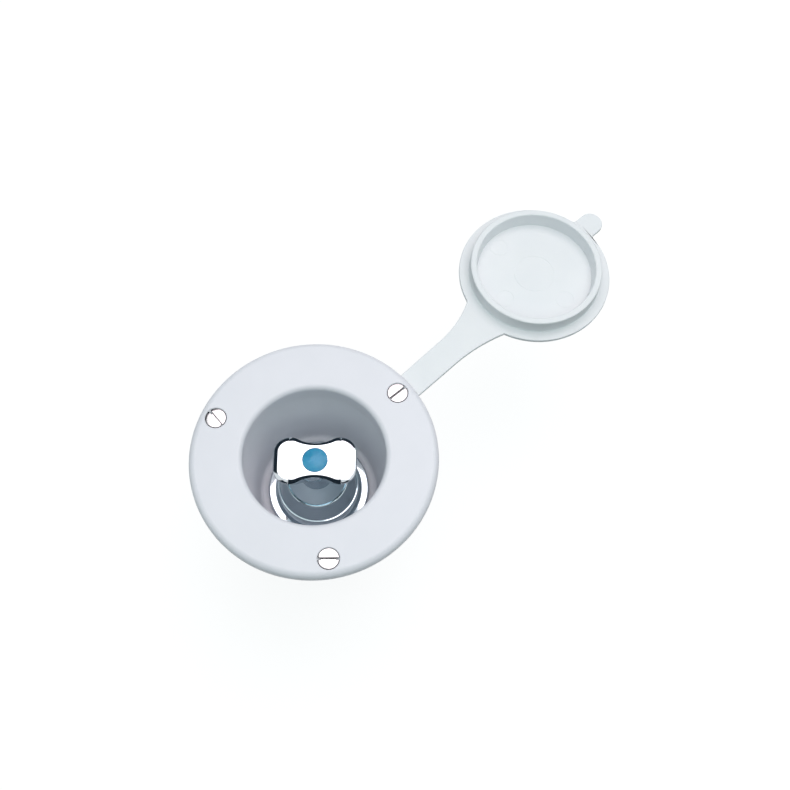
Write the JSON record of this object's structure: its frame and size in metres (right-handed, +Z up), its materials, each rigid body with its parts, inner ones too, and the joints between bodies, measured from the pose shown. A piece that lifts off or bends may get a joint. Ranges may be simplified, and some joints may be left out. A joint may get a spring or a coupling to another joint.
{
  "type": "recessed deck fill cap",
  "caption": "Round flush-deck tank filler: white recessed housing with a hinged soft cover and a chromed butterfly-grip cap that unlocks with a quarter turn and lifts out.",
  "frame": {"origin": "centre of the flange's underside, where it meets the deck", "axes": "+Z up out of the deck along the filler's axis; +X towards the open cover, which lies flat on the deck"},
  "size_m": [0.2085, 0.095, 0.088],
  "materials": {
    "white_moulding": "injection-moulded UV-stable plastic, satin gloss",
    "white_pvc": "flexible white PVC, soft satin",
    "polished_chrome": "polished chrome plate",
    "stainless_steel": "polished stainless steel",
    "blue_index": "translucent blue acrylic, domed and glossy",
    "black_rubber": "moulded nitrile rubber",
    "grey_foam": "closed-cell foam",
    "acetal": "natural acetal",
    "black_nylon": "glass-filled nylon, moulded"
  },
  "bodies": {
    "root": {"deck_housing": "white_moulding", "flange_seal": "grey_foam", "flange_screws": "stainless_steel", "cover_strap": "white_pvc", "neck_ring": "polished_chrome", "neck_seal": "black_rubber", "neck_washer": "black_rubber", "hose_tail": "black_nylon"},
    "cover": {"cover_lid": "white_pvc"},
    "cap": {"cap_dome": "polished_chrome", "cap_gasket": "black_rubber", "cap_plug": "acetal", "cap_o_ring": "black_rubber", "stem_o_ring": "black_rubber", "stem_bush": "acetal"},
    "grip": {"butterfly_grip": "polished_chrome", "index_button": "blue_index", "grip_screw": "stainless_steel", "grip_stem": "stainless_steel", "locking_bar": "stainless_steel", "wave_washer": "stainless_steel", "bar_nut": "stainless_steel"}
  },
  "joints": [
    {"name": "cover_fold", "type": "hinge", "parent": "root", "child": "cover", "pos_m": [0.06025, 0, 0.0031], "axis": [0, -1, 0], "range_deg": [0, 180]},
    {"name": "cap_lift", "type": "slide", "parent": "root", "child": "cap", "axis": [0, 0, 1], "range_m": [0, 0.07]},
    {"name": "cap_turn", "type": "hinge", "parent": "cap", "child": "grip", "pos_m": [0, 0, 0], "axis": [0, 0, -1], "range_deg": [0, 90]}
  ]
}
